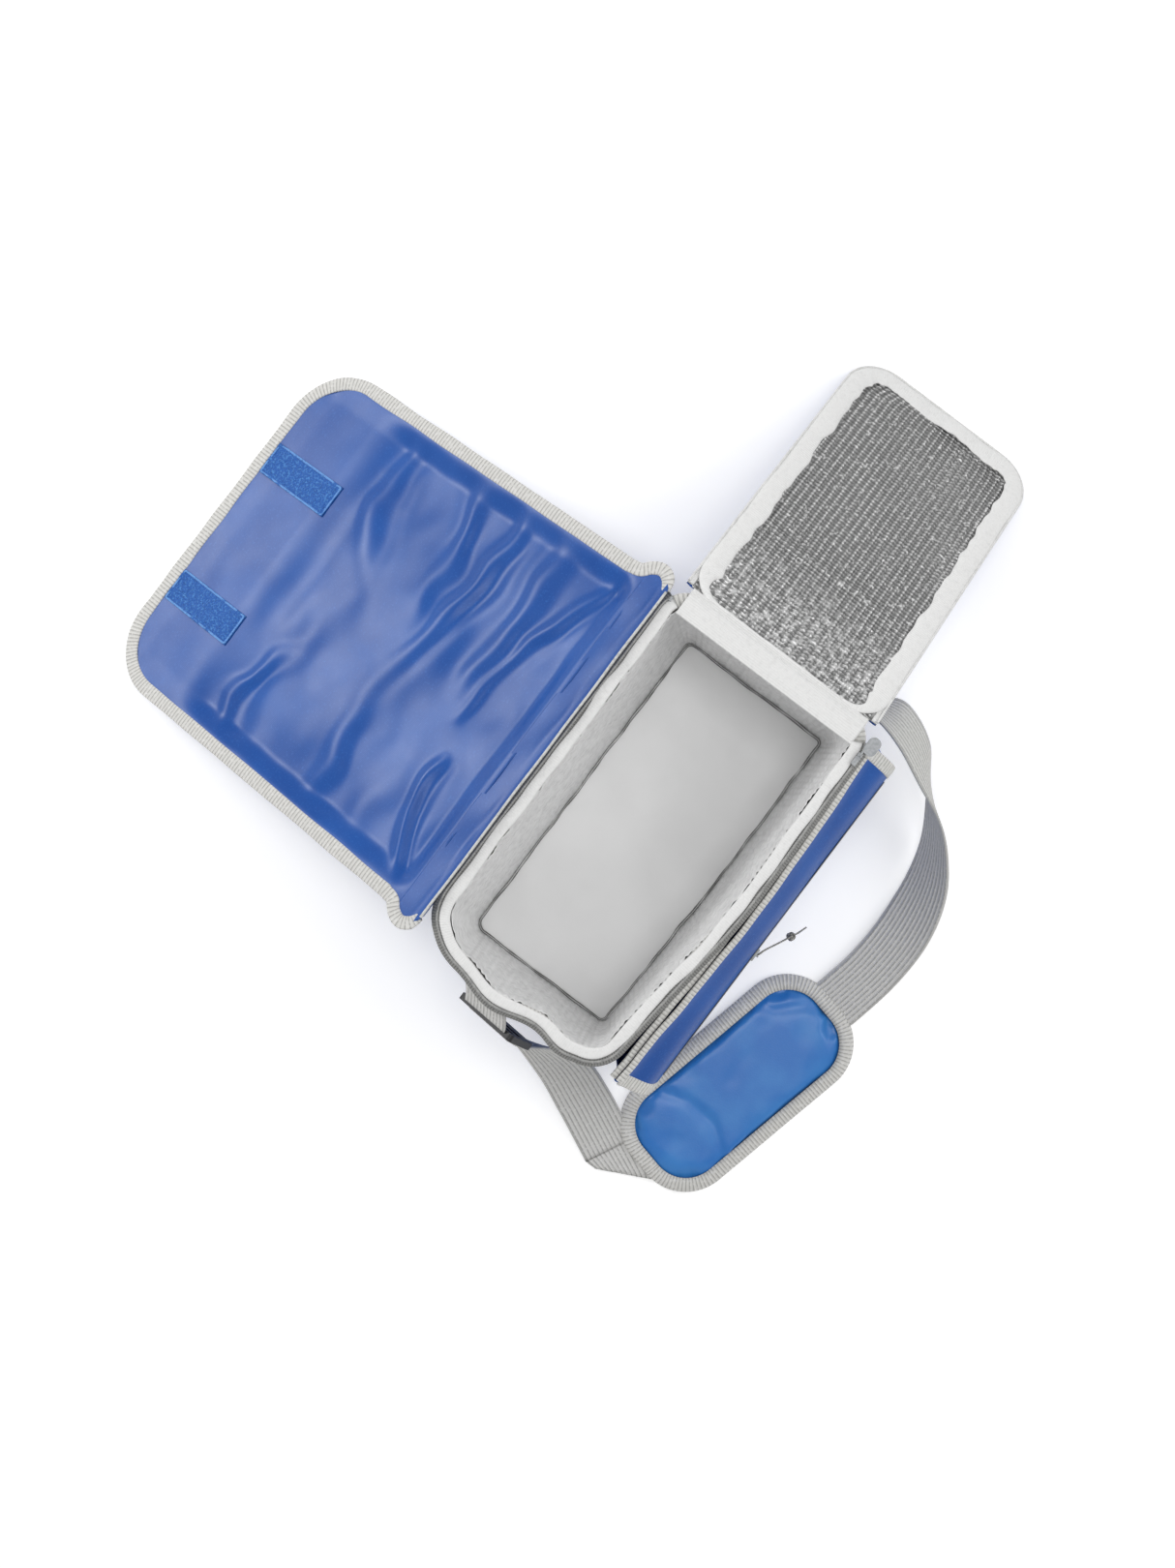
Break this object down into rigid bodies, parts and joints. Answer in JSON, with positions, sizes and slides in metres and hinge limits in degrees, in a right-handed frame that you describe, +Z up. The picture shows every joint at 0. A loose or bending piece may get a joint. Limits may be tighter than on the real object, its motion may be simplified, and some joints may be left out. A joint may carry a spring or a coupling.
{
  "type": "insulated cooler shoulder bag",
  "caption": "Soft insulated cooler bag with foil liner, zipped inner lid, hook-and-loop weather flap, zipped front pocket and padded shoulder strap, stored open.",
  "frame": {"origin": "on the underside of the base, on the plane it stands on, below the middle of the zipped mouth's length", "axes": "+Z up; +X towards the end wall where the inner lid is hinged; +Y towards the back wall where the flap is hinged; -Y towards the front pocket"},
  "size_m": [0.5739, 0.5885, 0.1514],
  "materials": {
    "shell_fabric": "satin coated woven",
    "foam": "closed-cell foam",
    "foil": "embossed film",
    "board": "rigid sheet",
    "binding": "ribbed tape",
    "white_tape": "woven tape",
    "grey_tape": "ribbed tape",
    "zip_coil": "moulded coil",
    "zip_metal": "painted grey",
    "webbing": "ribbed webbing",
    "black_plastic": "moulded",
    "hook_tape": "hook and loop pile",
    "pad_satin": "satin",
    "pad_backing": "mesh",
    "pull_cord": "braided cord"
  },
  "bodies": {
    "bag": {"anchor_tab_left": "webbing", "anchor_tab_right": "webbing", "base_board": "board", "body_zip_coil": "zip_coil", "body_zip_stops": "zip_metal", "body_zip_tape": "white_tape", "foam_back": "foam", "foam_base": "foam", "foam_front": "foam", "foam_left": "foam", "foam_right": "foam", "foil_liner": "foil", "ladder_lock": "black_plastic", "pad_backing": "pad_backing", "pad_binding": "binding", "pad_cover": "pad_satin", "pad_foam": "foam", "pocket_front_panel": "shell_fabric", "pocket_gusset": "shell_fabric", "pocket_loop_strips": "hook_tape", "pocket_side_bindings": "binding", "pocket_top_binding": "binding", "pocket_zip_coil": "zip_coil", "pocket_zip_tape": "grey_tape", "rim_binding": "binding", "shell_back": "shell_fabric", "shell_base": "shell_fabric", "shell_front": "shell_fabric", "shell_left": "shell_fabric", "shell_right": "shell_fabric", "strap_left": "webbing", "strap_right": "webbing", "strap_ring": "black_plastic"},
    "lid": {"lid_cover": "shell_fabric", "lid_foam": "foam", "lid_foil": "foil", "lid_zip_tape": "white_tape", "lid_zip_coil": "zip_coil", "lid_hinge_fabric": "white_tape"},
    "flap_top": {"flap_top_panel": "shell_fabric", "flap_top_binding": "binding", "flap_hinge_strip": "shell_fabric"},
    "flap_front": {"flap_front_panel": "shell_fabric", "flap_front_binding": "binding", "flap_hook_strips": "hook_tape"},
    "lid_slider": {"lid_zip_slider": "zip_metal"},
    "lid_pull": {"lid_zip_pull": "zip_metal"},
    "pocket_slider": {"pocket_zip_slider": "zip_metal", "pocket_pull_cord": "pull_cord", "pocket_pull_knot": "pull_cord"}
  },
  "joints": [
    {"name": "lid_hinge", "type": "hinge", "parent": "bag", "child": "lid", "pos_m": [0.1365, 0, 0.148], "axis": [0, -1, 0], "range_deg": [0, 212.5]},
    {"name": "flap_hinge", "type": "hinge", "parent": "bag", "child": "flap_top", "pos_m": [0, 0.078, 0.15], "axis": [1, 0, 0], "range_deg": [0, 205.97]},
    {"name": "flap_fold", "type": "hinge", "parent": "flap_top", "child": "flap_front", "pos_m": [0, 0.24654, 0.06212], "axis": [1, 0, 0], "range_deg": [0, 90], "deforming": ["pocket_pull_cord", "pocket_pull_knot"]},
    {"name": "lid_zip_slide", "type": "slide", "parent": "bag", "child": "lid_slider", "axis": [-1, 0, 0], "range_m": [0, 0.1]},
    {"name": "lid_pull_swing", "type": "hinge", "parent": "lid_slider", "child": "lid_pull", "pos_m": [0.1185, -0.07975, 0.1504], "axis": [0, -1, 0], "range_deg": [0, 180]},
    {"name": "pocket_zip_slide", "type": "slide", "parent": "bag", "child": "pocket_slider", "axis": [1, 0, 0], "range_m": [-0.09, 0.1]}
  ]
}
